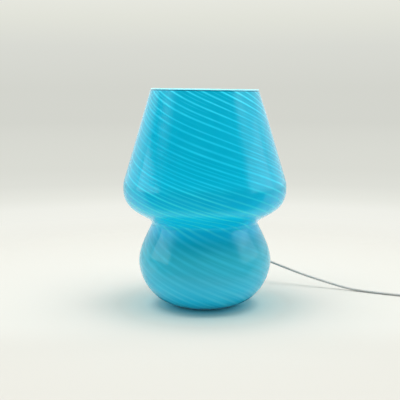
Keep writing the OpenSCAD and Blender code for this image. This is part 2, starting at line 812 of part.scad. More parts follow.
// Two wings about a pivot, tipped as it rests, with its pins
module switch_rocker() {
    a = rocker_l / 2;
    end_a = atan2(rocker_top, a);
    color(black_plastic)
    translate([switch_x, switch_y, part_z + pivot_rise])
    rotate([0, -rocker_a, 0])
    union() {
        translate([0, rocker_w / 2, 0])
            rotate([90, 0, 0])
            linear_extrude(rocker_w)
            polygon(concat(
                arc([0, 0], rocker_reach, -4, end_a, 4),
                [[a * 0.55, rocker_top - rocker_dip * 0.75], [0, rocker_top - rocker_dip],
                    [-a * 0.55, rocker_top - rocker_dip * 0.75]],
                arc([0, 0], rocker_reach, 180 - end_a, 184, 4),
                [[-3.5, -2.2], [3.5, -2.2]]));
        translate([0, rocker_w / 2 + 1.3, 0])
            rotate([90, 0, 0])
            cylinder(r = pivot_r, h = rocker_w + 2.6, $fn = 32);
    }
}

block = [4.5, 3.6, 3];

module switch_contacts() {
    color(brass)
    for (side = [-1, 1])
        translate([switch_x, switch_y - 2.1, pocket_z])
        union() {
            translate([side * 9.3 - block.x / 2, -block.y / 2, 0])
                cube(block);
            translate([side * 5 - 2.5, -1.2, 0])
                cube([5, 2.4, 0.6]);
            translate([side * 3.6, 0, 0.5])
                cylinder(r = 1, h = 0.7, $fn = 24);
        }
}

module switch_screws() {
    color(steel)
    each_switch_screw() {
        translate([0, 0, 0.5])
            cylinder(r = 2, h = 1.5, $fn = 24);
        translate([0, 0, 1.8])
            cylinder(r = 1.2, h = part_z + 2.6, $fn = 24);
    }
}

// One core runs through, the other is cut and held in the two contacts
module switch_cores() {
    c = [switch_x, switch_y, 0];
    end = 20 - core_gap;
    color("sienna")
    tube([for (p = [[-end, 0.7, 7], [1 - end, 0.7, 7], [-15, 1.5, 6], [-10, 2.6, 4.4],
        [0, 2.6, 3.8], [10, 2.6, 4.4], [15, 1.5, 6], [end - 1, 0.7, 7], [end, 0.7, 7]]) c + p],
        core_r, 6);
    color("lightblue")
    for (side = [-1, 1])
        tube([for (p = [[side * end, -0.7, 7], [side * (end - 1), -0.7, 7],
            [side * 16, -1.2, 6.2], [side * 13.8, -1.8, 4.6], [side * 12.6, -2, 4],
            [side * 11.6, -2, 4]]) c + p], core_r, 6);
}

// The plug lies flat with its pins towards -X
module at_plug() {
    translate([plug_x, plug_y, plug_h / 2])
    children();
}

module plug_body() {
    half = plug_w / 2;
    edge = 2.4;
    outline = [[0, half - 3.6], [3.6, half], [9, half], [plug_l - 5, 8.4], [plug_l, 6.2]];
    section = concat(arc([half - edge, plug_h / 2 - edge], edge, 0, 90, 4),
        arc([edge - half, plug_h / 2 - edge], edge, 90, 180, 4),
        arc([edge - half, edge - plug_h / 2], edge, 180, 270, 4),
        arc([half - edge, edge - plug_h / 2], edge, 270, 360, 4));
    ribs = 4;
    rib = plug_neck_l / ribs;
    neck_big = 4.8;
    neck_small = lead_r + 1;
    color(white_plastic)
    at_plug() {
        intersection() {
            translate([0, 0, -plug_h / 2])
                linear_extrude(plug_h)
                polygon(concat(outline, flip([for (p = outline) [p.x, -p.y]])));
            rotate([90, 0, 90])
                translate([0, 0, -1])
                linear_extrude(plug_l + 2)
                polygon(section);
        }
        translate([plug_l - 0.5, 0, 0])
            rotate([0, 90, 0])
            rotate_extrude($fn = 32)
            polygon(concat([[0, 0]],
                [for (i = [0:ribs - 1])
                    let (r = neck_big + (neck_small - neck_big) * i / ribs, x = i * rib)
                    each [[r, x], [r - 0.3, x + rib * 0.6], [r - 1, x + rib * 0.65],
                        [r - 1, x + rib * 0.95]]],
                [[neck_small, plug_neck_l + 0.5], [0, plug_neck_l + 0.5]]));
    }
}

module each_pin() {
    at_plug()
    for (side = [-1, 1])
        translate([0, side * pin_pitch / 2, 0])
        rotate([0, -90, 0])
        children();
}

// A pin is turned down under its sleeve, which lies flush with the bare tip
pin_neck_r = pin_r - 0.5;
pin_sleeve_clear = 0.05;

module plug_pins() {
    tip = pin_l - 1;
    color(steel)
    each_pin()
        rotate_extrude($fn = 32)
        polygon([[0, 0], [pin_neck_r, 0], [pin_neck_r, pin_sleeve_l], [pin_r, pin_sleeve_l],
            [pin_r, tip], [pin_r - 0.4, pin_l - 0.4], [pin_r - 1, pin_l], [0, pin_l]]);
}

module pin_sleeves() {
    bore = pin_neck_r + pin_sleeve_clear;
    end = pin_sleeve_l - pin_sleeve_clear;
    color(black_plastic)
    each_pin()
        rotate_extrude($fn = 32)
        polygon([[bore, 0], [pin_r, 0], [pin_r, end], [bore, end]]);
}

glass_body();
foot_pads();
cord_bush();
spring_clip();
clip_sleeves();
threaded_tube();
lock_nut();
tooth_washer();
holder_cap();
holder_body();
screw_shell();
insulator_seat();
centre_contact();
terminal_posts();
terminal_screws();
cord_grip();
inner_lead();
wire_cores();
bulb_eyelet();
bulb_globe();
bulb_housing();
bulb_screw_cap();
bulb_glass_bead();
cord_to_switch();
switch_base();
switch_cover();
switch_rocker();
switch_contacts();
switch_screws();
switch_cores();
cord_to_coil();
cord_coil();
coil_tie();
cord_to_plug();
plug_body();
plug_pins();
pin_sleeves();
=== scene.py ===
"""Looks of a gourd table lamp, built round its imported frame. Metres, +Z up, lead at +Y."""

import json
import math

import bpy
import numpy as np
from mathutils import Matrix, Vector


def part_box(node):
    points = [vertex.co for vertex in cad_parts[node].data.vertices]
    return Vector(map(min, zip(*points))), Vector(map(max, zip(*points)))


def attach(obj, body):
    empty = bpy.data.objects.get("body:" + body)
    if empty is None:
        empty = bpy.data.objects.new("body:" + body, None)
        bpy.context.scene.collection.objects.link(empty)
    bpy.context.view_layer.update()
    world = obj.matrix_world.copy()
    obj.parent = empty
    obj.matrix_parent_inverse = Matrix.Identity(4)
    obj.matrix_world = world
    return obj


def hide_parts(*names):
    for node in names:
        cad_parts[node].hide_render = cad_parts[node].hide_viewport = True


MM = 0.001

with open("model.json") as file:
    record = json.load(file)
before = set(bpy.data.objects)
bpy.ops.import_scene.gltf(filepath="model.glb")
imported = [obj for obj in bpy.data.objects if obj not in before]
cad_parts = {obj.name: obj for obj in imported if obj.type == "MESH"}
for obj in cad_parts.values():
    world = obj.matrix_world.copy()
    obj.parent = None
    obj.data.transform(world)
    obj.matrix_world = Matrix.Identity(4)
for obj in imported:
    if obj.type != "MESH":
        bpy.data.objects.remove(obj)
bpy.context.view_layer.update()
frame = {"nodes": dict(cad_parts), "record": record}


def mm(points):
    """Points in millimetres as an array in metres."""
    return np.array(points, float) * MM


# Camera

PITCH_DEG = 7.98
SENSOR_MM = 36
LENS_MM = 72
CAMERA_AT = mm([-5.5, -915, 250.16])


def make_camera():
    data = bpy.data.cameras.new("camera")
    data.sensor_width = SENSOR_MM
    data.lens = LENS_MM
    camera = bpy.data.objects.new("camera", data)
    camera.location = CAMERA_AT
    camera.rotation_euler = (math.radians(90 - PITCH_DEG), 0, 0)
    bpy.context.scene.collection.objects.link(camera)
    bpy.context.scene.camera = camera


# Cords

LEAD_D = 2.8 * MM
LEAD_R = LEAD_D / 2
CORE_R = 0.6 * MM
# Steps between two points of a route, fewer where it holds the coil's close points
ROUTE_STEPS = 8
COIL_ROUTE_STEPS = 2
BEVEL_STEPS = 5

# The routes, in millimetres
PLUG_LEVEL = 6.8
SWITCH_LEVEL = 7

# Outside: from the bush to the switch, from the switch to the coil, from the coil to the plug
BUSH_TO_SWITCH = [
    (0, 76, 52.5), (0, 86, 52.5), (0, 96, 52.5), (0.3, 103, 52.5), (3.4, 110.5, 52),
    (9.5, 117, 50.9), (18.5, 120.8, 49), (29, 121, 46.3), (41, 117.4, 42.7), (55, 111.2, 38.1),
    (71, 103.8, 32.9), (87, 96.6, 27.5), (104, 89.3, 21.9), (121, 82.3, 16.6), (138, 75.4, 11.9),
    (155, 68.4, 7.7), (170, 61.8, 4.3), (184, 55, 2.2), (198, 47.8, 1.5), (212, 40.6, 1.4),
    (226, 33.8, 1.4), (240, 27.7, 1.4), (252, 23.3, 2.2), (262, 20.9, 4.4), (271, 20, 6.4),
    (280, 20, SWITCH_LEVEL), (290, 20, SWITCH_LEVEL)]
SWITCH_TO_COIL = [
    (330, 20, SWITCH_LEVEL), (340, 20, SWITCH_LEVEL), (348, 19, 6.8), (355, 15, 6), (359, 8, 5),
    (359.5, 0, 4.1), (358.4, -8, 3.3), (357, -16, 2.6), (356.5, -21, 2.4)]
COIL_TO_PLUG = [
    (327, -49.6, 13.1), (321.5, -51, 12), (316, -55.5, 10.4), (311, -61.5, 8.9),
    (306, -67, 7.7), (300, -69.6, 6.9), (294, -70, PLUG_LEVEL)]

# The coil: four layers of loops that spiral in and out again, each a pitch above the last. It
# climbs to the next layer in a part of a turn
COIL_LOOPS = 2.9375
COIL_LAYERS = 4
COIL_CLIMB = 0.5
COIL_R = 11.2
COIL_PITCH = 3.7
COIL_OUT_R = COIL_R + COIL_PITCH * COIL_LOOPS
COIL_Z = 2.3
COIL_START = (356.5, -27.53)
COIL_STEPS = 24

# Inside: from the lampholder through the threaded tube to the bush
HOLDER_TO_BUSH = [
    (0, 0, 101), (0, 0, 96), (0, 0, 90), (0, 0, 81), (0, 1.5, 68), (0, 7, 55), (0, 17, 45),
    (0, 30, 40), (0, 43, 41.5), (0, 54, 46.5), (0, 61, 51.1), (0, 67, 52.5), (0, 76, 52.5)]
LIVE_CORE = [
    (0.7, 0, 101), (0.7, 0, 101.9), (1.6, 0, 102.9), (5.5, 0, 104.1), (6.5, 0, 105.4),
    (6.5, 0, 106.3)]
NEUTRAL_CORE = [
    (-0.7, 0, 101), (-0.7, 0, 101.9), (-1.8, 0, 102.7), (-8.4, 0, 104.3), (-10.4, 0, 105.4),
    (-10.4, 0, 106.3)]
SWITCH_AT = (310, 20, 0)
THROUGH_CORE = [
    (-20, 0.7, 7), (-19, 0.7, 7), (-15, 1.5, 6), (-10, 2.6, 4.4), (0, 2.6, 3.8), (10, 2.6, 4.4),
    (15, 1.5, 6), (19, 0.7, 7), (20, 0.7, 7)]
CUT_CORE = [
    (20, -0.7, 7), (19, -0.7, 7), (16, -1.2, 6.2), (13.8, -1.8, 4.6), (12.6, -2, 4), (11.6, -2, 4)]


def smooth_route(points, steps, lowest=None):
    """A Catmull-Rom line through the points, kept from dipping below a level."""
    p = mm(points)
    p = np.vstack([p[:1], p, p[-1:]])
    line = []
    for a, b, c, d in zip(p, p[1:], p[2:], p[3:]):
        for t in np.arange(steps) / steps:
            curve = 2 * b + (c - a) * t + (2 * a - 5 * b + 4 * c - d) * t ** 2
            line.append(0.5 * (curve + (3 * b - a - 3 * c + d) * t ** 3))
    line = np.array(line + [p[-1]])
    if lowest is not None:
        line[:, 2] = np.maximum(line[:, 2], lowest)
    return line


def ease(t):
    """A value from 0 to 1 with its ends smoothed."""
    return t * t * (3 - 2 * t)


def coil_at(turn):
    """A point of the coil, in millimetres, after so many turns."""
    span = COIL_LOOPS + COIL_CLIMB
    layer = min(int(turn / span), COIL_LAYERS - 1)
    along = turn - layer * span
    spiral = COIL_PITCH * min(along, COIL_LOOPS)
    radius = COIL_OUT_R - spiral if layer % 2 == 0 else COIL_R + spiral
    climb = ease(max(along - COIL_LOOPS, 0) / COIL_CLIMB)
    angle = -2 * math.pi * turn
    return (COIL_START[0] - COIL_OUT_R + radius * math.cos(angle),
            COIL_START[1] + radius * math.sin(angle),
            COIL_Z + COIL_PITCH * (layer + climb))


def coil_turns():
    total = COIL_LAYERS * (COIL_LOOPS + COIL_CLIMB) - COIL_CLIMB
    return [coil_at(i / COIL_STEPS) for i in range(round(total * COIL_STEPS) + 1)]


def round_wire(name, line, radius):
    """A wire of round section along a line, as a curve with closed ends, on the lamp's body."""
    data = bpy.data.curves.new(name, "CURVE")
    data.dimensions = "3D"
    data.bevel_depth = 1
    data.bevel_resolution = BEVEL_STEPS
    data.use_fill_caps = True
    spline = data.splines.new("POLY")
    spline.points.add(len(line) - 1)
    spline.points.foreach_set("co", np.column_stack([line, np.ones(len(line))]).ravel())
    spline.points.foreach_set("radius", np.full(len(line), radius))
    spline.use_smooth = True
    wire = bpy.data.objects.new(name, data)
    bpy.context.scene.collection.objects.link(wire)
    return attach(wire, "lamp")


def make_cords():
    """The two free leads, which lie in the air and on the table."""
    first = smooth_route(BUSH_TO_SWITCH, ROUTE_STEPS, LEAD_R)
    to_switch = round_wire("lead_to_switch", first, LEAD_R)
    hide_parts("cord_to_switch")
    route = SWITCH_TO_COIL + coil_turns() + COIL_TO_PLUG
    second = smooth_route(route, COIL_ROUTE_STEPS, LEAD_R)
    to_plug = round_wire("lead_to_plug", second, LEAD_R)
    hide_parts("cord_to_coil", "cord_coil", "cord_to_plug")
    return [to_switch, to_plug]


def make_inner_wires():
    """The lead in the base and the cores in the lampholder and the switch."""
    inner = round_wire("lead_in_base", smooth_route(HOLDER_TO_BUSH, ROUTE_STEPS), LEAD_R)
    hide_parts("inner_lead")
    cores = []
    for name, points in (("core_live", LIVE_CORE), ("core_neutral", NEUTRAL_CORE)):
        core = round_wire(name, smooth_route(points, ROUTE_STEPS), CORE_R)
        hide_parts("wire_cores")
        cores.append(core)
    mirrored = [(-x, y, z) for x, y, z in CUT_CORE]
    for name, points in (("core_through", THROUGH_CORE), ("core_cut_right", CUT_CORE),
                         ("core_cut_left", mirrored)):
        placed = [np.add(SWITCH_AT, p) for p in points]
        core = round_wire(name, smooth_route(placed, ROUTE_STEPS), CORE_R)
        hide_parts("switch_cores")
        cores.append(core)
    return inner, cores


# Glass body: the outline of the frame's glass, from the rim down to the foot. Angles are in
# degrees, and each REACH is the length of a curve's handle

glass_low, glass_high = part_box("glass_body")
LAMP_H = glass_high.z
SHADE_R = glass_high.x
FOOT_Z = glass_low.z
RIM_R = 61.4 * MM
SHADE_Z = 136.6 * MM
SHOULDER_H = 13.8 * MM
SHOULDER_IN = 2.5 * MM
SHOULDER_SHARE = 0.45
BELLY = 25.4 * MM
UNDER_A = 45
UNDER_REACH = 12.9 * MM
NECK_R = 61.3 * MM
NECK_Z = 96.2 * MM
GROOVE_R = 5 * MM
CROWN_A = 65
CROWN_REACH = 10.6 * MM
BASE_R = 76.4 * MM
BASE_Z = 52.5 * MM
BASE_UPPER = 15 * MM
BASE_LOWER = 14.2 * MM
FOOT_R = 31.5 * MM
FOOT_A = 9.4
FOOT_REACH = 35.7 * MM
WALL = 3.2 * MM
# The lead's hole, and how far its cutter reaches in and out of the base's widest ring
HOLE_R = 4.2 * MM
HOLE_CUT = 12 * MM
HOLE_SIDES = 48
# Columns round the glass, its longest row, and the steps of its curves
GLASS_COLUMNS = 256
GLASS_ROW = 2.4 * MM
SHOULDER_STEPS = 20
BELLY_STEPS = 28
GROOVE_STEPS = 16
CROWN_STEPS = 28
BASE_STEPS = 32
RIM_STEPS = 10
# How far the rim slants, and how far down the slant fades out
RIM_DROP = 1.6 * MM
RIM_FADE = 40 * MM

# Stripes: how many there are, where the first stands, in degrees, and how far they turn, in
# degrees for each millimetre of outline, by the distance down it in millimetres
STRIPES = 22
STRIPE_PHASE = -21.1
TWIST_SAMPLES = 600
TWIST = (
    (0, 1.83), (120, 1.83), (130, 1.7), (145, 1.55), (160, 1.4), (175, 1.75), (205, 1.72),
    (220, 1.68), (245, 1.55), (260, 1.3), (292, 1.2))


def polar(degrees, radius):
    """A step of some length in a direction of the section's plane."""
    a = math.radians(degrees)
    return np.array([math.cos(a), math.sin(a)]) * radius


def bezier(a, b, c, d, steps):
    """Points of a cubic curve, without its first."""
    t = np.arange(1, steps + 1)[:, None] / steps
    s = 1 - t
    return s ** 3 * a + 3 * s * s * t * b + 3 * s * t * t * c + t ** 3 * d


def glass_outline():
    """Radius and height down the outside of the glass."""
    cone_end = np.array([SHADE_R - SHOULDER_IN, SHADE_Z + SHOULDER_H])
    cone_a = math.atan2(cone_end[0] - RIM_R, LAMP_H - cone_end[1])
    rim = np.array([RIM_R, LAMP_H - WALL / 2 * (1 - math.sin(cone_a))])
    cone = (cone_end - rim) / np.linalg.norm(cone_end - rim)
    shade = np.array([SHADE_R, SHADE_Z])
    groove = np.array([NECK_R + GROOVE_R, NECK_Z])
    under = groove + polar(90 + UNDER_A, GROOVE_R)
    crown = groove + polar(270 - CROWN_A, GROOVE_R)
    base = np.array([BASE_R, BASE_Z])
    foot = np.array([FOOT_R, FOOT_Z])
    reach = SHOULDER_H * SHOULDER_SHARE
    turn = (180 - UNDER_A - CROWN_A) / GROOVE_STEPS
    return np.vstack([
        [rim, cone_end],
        bezier(cone_end, cone_end + reach * cone, shade + [0, reach], shade, SHOULDER_STEPS),
        bezier(shade, shade - [0, BELLY], under + polar(UNDER_A, UNDER_REACH), under, BELLY_STEPS),
        [groove + polar(90 + UNDER_A + turn * i, GROOVE_R) for i in range(1, GROOVE_STEPS + 1)],
        bezier(crown, crown + polar(-CROWN_A, CROWN_REACH), base + [0, BASE_UPPER], base,
               CROWN_STEPS),
        bezier(base, base - [0, BASE_LOWER], foot + polar(FOOT_A, FOOT_REACH), foot, BASE_STEPS)])


def fill_in(points, longest):
    """The same line with its long steps divided."""
    line = [points[0]]
    for a, b in zip(points, points[1:]):
        parts = max(1, math.ceil(np.linalg.norm(b - a) / longest))
        line += [a + (b - a) * k / parts for k in range(1, parts + 1)]
    return np.array(line)


def moved_in(line, distance):
    """The line moved towards the inside, square to itself."""
    along = np.gradient(line, axis=0)
    along /= np.linalg.norm(along, axis=1)[:, None]
    return line + distance * np.column_stack([along[:, 1], -along[:, 0]])


def distance_along(line):
    return np.concatenate([[0], np.cumsum(np.linalg.norm(np.diff(line, axis=0), axis=1))])


def twist_at(s):
    """Turn of the stripes, in degrees, at a distance down the outline."""
    fine = np.linspace(0, TWIST[-1][0], TWIST_SAMPLES)
    rate = np.interp(fine, [a for a, _ in TWIST], [b for _, b in TWIST])
    total = np.concatenate([[0], np.cumsum((rate[1:] + rate[:-1]) / 2 * np.diff(fine))])
    return np.interp(s / MM, fine, total)


def revolve(name, line, columns, depth=0.0, pitch=1.0, ring=False):
    """A body of revolution. Its line runs from axis to axis, or, for a ring, round the whole
    section. Depth is the height of a right-hand thread, at each point or all over."""
    turn = np.arange(columns) / columns * 2 * math.pi
    height = np.broadcast_to(depth, len(line))[:, None]
    inner, height = (line, height) if ring else (line[1:-1], height[1:-1])
    z = np.repeat(inner[:, 1:], columns, axis=1)
    radius = inner[:, :1] + height * np.cos(z / pitch * 2 * math.pi - turn)
    points = np.stack([radius * np.sin(turn), -radius * np.cos(turn), z], -1).reshape(-1, 3)
    rows = len(inner)
    faces = []
    for i in range(rows if ring else rows - 1):
        below, above = i * columns, (i + 1) % rows * columns
        for j in range(columns):
            k = (j + 1) % columns
            faces.append((below + j, below + k, above + k, above + j))
    if not ring:
        points = np.vstack([points, [(0, 0, line[0, 1]), (0, 0, line[-1, 1])]])
        first, last = rows * columns, rows * columns + 1
        for j in range(columns):
            k = (j + 1) % columns
            faces.append((first, k, j))
            faces.append((last, first - columns + j, first - columns + k))
    mesh = bpy.data.meshes.new(name)
    mesh.from_pydata(points.tolist(), [], faces)
    mesh.shade_smooth()
    body = bpy.data.objects.new(name, mesh)
    bpy.context.scene.collection.objects.link(body)
    return body


def map_stripes(mesh, s, columns):
    """UV holds the count of stripes round the glass, less their turn, and the distance down it.
    It goes by faces, in the order in which revolve makes them."""
    counted = (np.arange(columns + 1) / columns * 360 - STRIPE_PHASE) * STRIPES / 360
    turned = twist_at(s) * STRIPES / 360
    layer = mesh.uv_layers.new(name="stripes")
    uv = []
    for i in range(len(s) - 3):
        for j in range(columns):
            a, b = i + 1, i + 2
            uv += [(counted[j] - turned[a], s[a]), (counted[j + 1] - turned[a], s[a]),
                   (counted[j + 1] - turned[b], s[b]), (counted[j] - turned[b], s[b])]
    for j in range(columns):
        uv += [(counted[j] - turned[0], s[0]), (counted[j + 1] - turned[1], s[1]),
               (counted[j] - turned[1], s[1])]
        uv += [(counted[j] - turned[-1], s[-1]), (counted[j] - turned[-2], s[-2]),
               (counted[j + 1] - turned[-2], s[-2])]
    layer.uv.foreach_set("vector", np.array(uv, np.float32).ravel())


def glass_section():
    """The whole section of the wall, from the foot's underside over the rim to its inside."""
    outer = fill_in(glass_outline(), GLASS_ROW)
    inside = moved_in(outer, WALL)
    s = distance_along(outer)
    middle = (outer[0] + inside[0]) / 2
    start = math.degrees(math.atan2(*(outer[0] - middle)[::-1]))
    lip = [middle + polar(start + 180 * k / RIM_STEPS, WALL / 2) for k in range(1, RIM_STEPS)]
    line = np.vstack([[(0, FOOT_Z)], outer[::-1], lip, inside, [(0, FOOT_Z + WALL)]])
    run = np.concatenate([[s[-1] + FOOT_R], s[::-1], np.zeros(len(lip)), s, [s[-1] + FOOT_R]])
    return line, run


def slant_rim(body):
    """Lowers the rim towards +X, as the hand-cut rim in the photograph runs."""
    count = len(body.data.vertices)
    co = np.zeros(count * 3)
    body.data.vertices.foreach_get("co", co)
    co = co.reshape(-1, 3)
    near = np.clip((co[:, 2] - (LAMP_H - RIM_FADE)) / RIM_FADE, 0, 1)
    co[:, 2] -= RIM_DROP / 2 * (1 + co[:, 0] / RIM_R) * ease(near)
    co[:, 2] = np.minimum(co[:, 2], LAMP_H)
    body.data.vertices.foreach_set("co", co.ravel())


def cut_hole(body):
    """Cuts the lead's round hole through the wall at +Y."""
    bpy.ops.mesh.primitive_cylinder_add(
        vertices=HOLE_SIDES, radius=HOLE_R, depth=2 * HOLE_CUT, location=(0, BASE_R, BASE_Z),
        rotation=(math.radians(90), 0, 0))
    cutter = bpy.context.object
    cut = body.modifiers.new("hole", "BOOLEAN")
    cut.operation = "DIFFERENCE"
    cut.solver = "EXACT"
    cut.object = cutter
    graph = bpy.context.evaluated_depsgraph_get()
    mesh = bpy.data.meshes.new_from_object(body.evaluated_get(graph))
    body.modifiers.clear()
    body.data = mesh
    bpy.data.objects.remove(cutter)


def make_glass():
    line, run = glass_section()
    body = revolve("glass_shade_and_base", line, GLASS_COLUMNS)
    map_stripes(body.data, run, GLASS_COLUMNS)
    slant_rim(body)
    cut_hole(body)
    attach(body, "lamp")
    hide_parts("glass_body")
    return body


# Bulb and screw fittings, in millimetres. Heights of the shell and the cap are from their own
# lowest level, the height of the globe's middle is from the floor

E27_PITCH = 3.629
E27_DEPTH = 0.475
E27_MIDDLE = 12.62
SHELL_GAP = 0.3
SHELL_T = 0.5
SHELL_H = 21
SHELL_FLOOR_R = 10
# Heights between which the shell's wall has its rows, its thread deepens, and it fades again
SHELL_ROWS = (SHELL_T + 0.3, SHELL_H)
SHELL_RUN_IN = (0.8, 3)
SHELL_RUN_OUT = (SHELL_H - 1.2, SHELL_H)
CAP_T = 0.4
CAP_H = 22.5
CAP_R = 13.1
CAP_FOOT_R = 11.5
# The same heights of the cap, and those between which its foot widens to the thread
CAP_ROWS = (0.9, CAP_H - 2)
CAP_RUN_IN = (1, 3.5)
CAP_RUN_OUT = (CAP_H - 4.5, CAP_H - 2.2)
CAP_WIDENS = (0.3, 2.5)
CAP_UNDERSIDE = [(0, 0), (CAP_FOOT_R - 0.6, 0), (CAP_FOOT_R - 0.1, 0.3)]
CAP_FLOOR = [(CAP_FOOT_R - 1, 0.7), (0, 0.6)]
M10_PITCH = 1.0
TUBE_R = 5
TUBE_BORE_R = 4
TUBE_DEPTH = 0.3
TUBE_RUN = 0.8
TUBE_ROWS_PER_MM = 8
GLOBE_R = 30
GLOBE_T = 1
GLOBE_Z = 199.25
GLOBE_ROWS = 48
# Columns round a fitting, and rows for each turn of the E27 thread
FITTING_COLUMNS = 96
TURN_STEPS = 14


def level(node):
    """Lowest level of a node, in millimetres."""
    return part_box(node)[0].z / MM


def fitting(name, line, node, body, depth=0.0, pitch=E27_PITCH, ring=False):
    """A turned or rolled piece in millimetres, in the place of a node."""
    made = revolve(name, mm(line), FITTING_COLUMNS, np.multiply(depth, MM), pitch * MM, ring)
    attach(made, body)
    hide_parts(node)
    return made


def rise(z, low, high):
    """An eased rise from 0 at the low level to 1 at the high one."""
    return ease(np.clip((z - low) / (high - low), 0, 1))


def threaded_cap():
    """The bulb's rolled cap: a plain collar on top, the thread, and the turn-in at the bead."""
    z = np.linspace(*CAP_ROWS, round(CAP_H / E27_PITCH * TURN_STEPS))
    run_out = rise(z, *CAP_RUN_OUT)
    share = rise(z, *CAP_RUN_IN) * (1 - run_out)
    radius = CAP_FOOT_R + (E27_MIDDLE - CAP_FOOT_R) * rise(z, *CAP_WIDENS)
    radius = radius + (CAP_R - E27_MIDDLE) * run_out
    outer = np.column_stack([radius, z])
    inner = outer[::-1] - [CAP_T, 0]
    line = np.vstack([
        CAP_UNDERSIDE, outer, [(CAP_R, CAP_H), (CAP_R - CAP_T, CAP_H)], inner, CAP_FLOOR])
    plain = np.zeros(len(CAP_UNDERSIDE))
    depth = np.concatenate([plain, share, [0, 0], share[::-1], [0, 0]]) * E27_DEPTH
    line[:, 1] += level("bulb_screw_cap")
    return fitting("bulb_cap_threaded", line, "bulb_screw_cap", "bulb", depth)


def threaded_shell():
    """The holder's rolled shell, whose thread follows the bulb's with a gap."""
    z = np.linspace(*SHELL_ROWS, round(SHELL_H / E27_PITCH * TURN_STEPS))
    run_out = rise(z, *SHELL_RUN_OUT)
    share = rise(z, *SHELL_RUN_IN) * (1 - run_out)
    middle = E27_MIDDLE + SHELL_GAP
    inner = np.column_stack([middle + (CAP_R - E27_MIDDLE) * run_out, z])
    outer = inner[::-1] + [SHELL_T, 0]
    line = np.vstack([
        [(SHELL_FLOOR_R, SHELL_T)], inner, outer, [(middle, 0), (SHELL_FLOOR_R, 0)]])
    depth = np.concatenate([[0], share, share[::-1], [0, 0]]) * E27_DEPTH
    line[:, 1] += level("screw_shell")
    return fitting("holder_shell_threaded", line[::-1], "screw_shell", "lamp", depth[::-1],
                   ring=True)


def threaded_rod():
    """The tube that carries the lampholder, threaded from end to end."""
    low, high = (corner.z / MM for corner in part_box("threaded_tube"))
    z = np.linspace(low, high, round((high - low) * TUBE_ROWS_PER_MM))
    share = rise(z, low, low + TUBE_RUN) * (1 - rise(z, high - TUBE_RUN, high))
    outer = np.column_stack([np.full(len(z), TUBE_R - TUBE_DEPTH), z])
    line = np.vstack([outer, [(TUBE_BORE_R, high), (TUBE_BORE_R, low)]])
    depth = np.concatenate([share, [0, 0]]) * TUBE_DEPTH
    return fitting("threaded_tube_m10", line, "threaded_tube", "lamp", depth, M10_PITCH, ring=True)


def smooth_globe():
    """The opal globe, a thin shell from its seam on the housing to its top."""
    seam = math.degrees(math.asin((level("bulb_globe") - GLOBE_Z) / GLOBE_R))
    angles = np.linspace(seam, 90, GLOBE_ROWS)
    outer = [(0, GLOBE_Z) + polar(a, GLOBE_R) for a in angles]
    inner = [(0, GLOBE_Z) + polar(a, GLOBE_R - GLOBE_T) for a in angles[::-1]]
    line = np.vstack([inner, outer])
    line[[0, -1], 0] = 0
    return fitting("bulb_globe_smooth", line, "bulb_globe", "bulb")


def make_fittings():
    """Turned and rolled pieces, each with its slot."""
    return [(threaded_cap(), "nickel"), (threaded_shell(), "brass"), (threaded_rod(), "brass"),
            (smooth_globe(), "opal_globe")]


# Marks for on and off, a bar and a ring, moulded on the rocker's two ends: places from the pivot,
# then their own sizes in millimetres

PIVOT = mm([310, 20, 11.2])
ROCKER_TILT = -8
MARK_X = 7.9 * MM
MARK_Z = 2.9 * MM
MARK_SLOPE = 10.8
MARK_SUNK = 0.1
MARK_RISE = 0.12
BAR_LENGTH = 3
BAR_WIDTH = 0.56
RING_IN = 0.95
RING_OUT = 1.45
RING_COLUMNS = 48


def on_rocker(mark, side):
    """Lays a mark on the rocker's end at that side, and lets it ride there."""
    tilt = Matrix.Rotation(math.radians(ROCKER_TILT), 4, "Y")
    slope = Matrix.Rotation(math.radians(-side * MARK_SLOPE), 4, "Y")
    place = Matrix.Translation(Vector((side * MARK_X, 0, MARK_Z)))
    mark.matrix_world = Matrix.Translation(Vector(PIVOT)) @ tilt @ place @ slope
    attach(mark, "rocker")
    return mark


def make_marks():
    low, high = -MARK_SUNK, MARK_RISE
    section = [(RING_IN, low), (RING_OUT, low), (RING_OUT, high), (RING_IN, high)]
    ring = revolve("mark_off", mm(section), RING_COLUMNS, ring=True)
    bpy.ops.mesh.primitive_cube_add(size=1)
    bar = bpy.context.object
    bar.name = "mark_on"
    size = Vector(mm([BAR_WIDTH, BAR_LENGTH, high - low]))
    middle = Vector(mm([0, 0, (high + low) / 2]))
    for corner in bar.data.vertices:
        corner.co = corner.co * size + middle
    return [on_rocker(bar, 1), on_rocker(ring, -1)]


# Materials

# The values between which most of a noise lies
NOISE_SPAN = (0.3, 0.7)


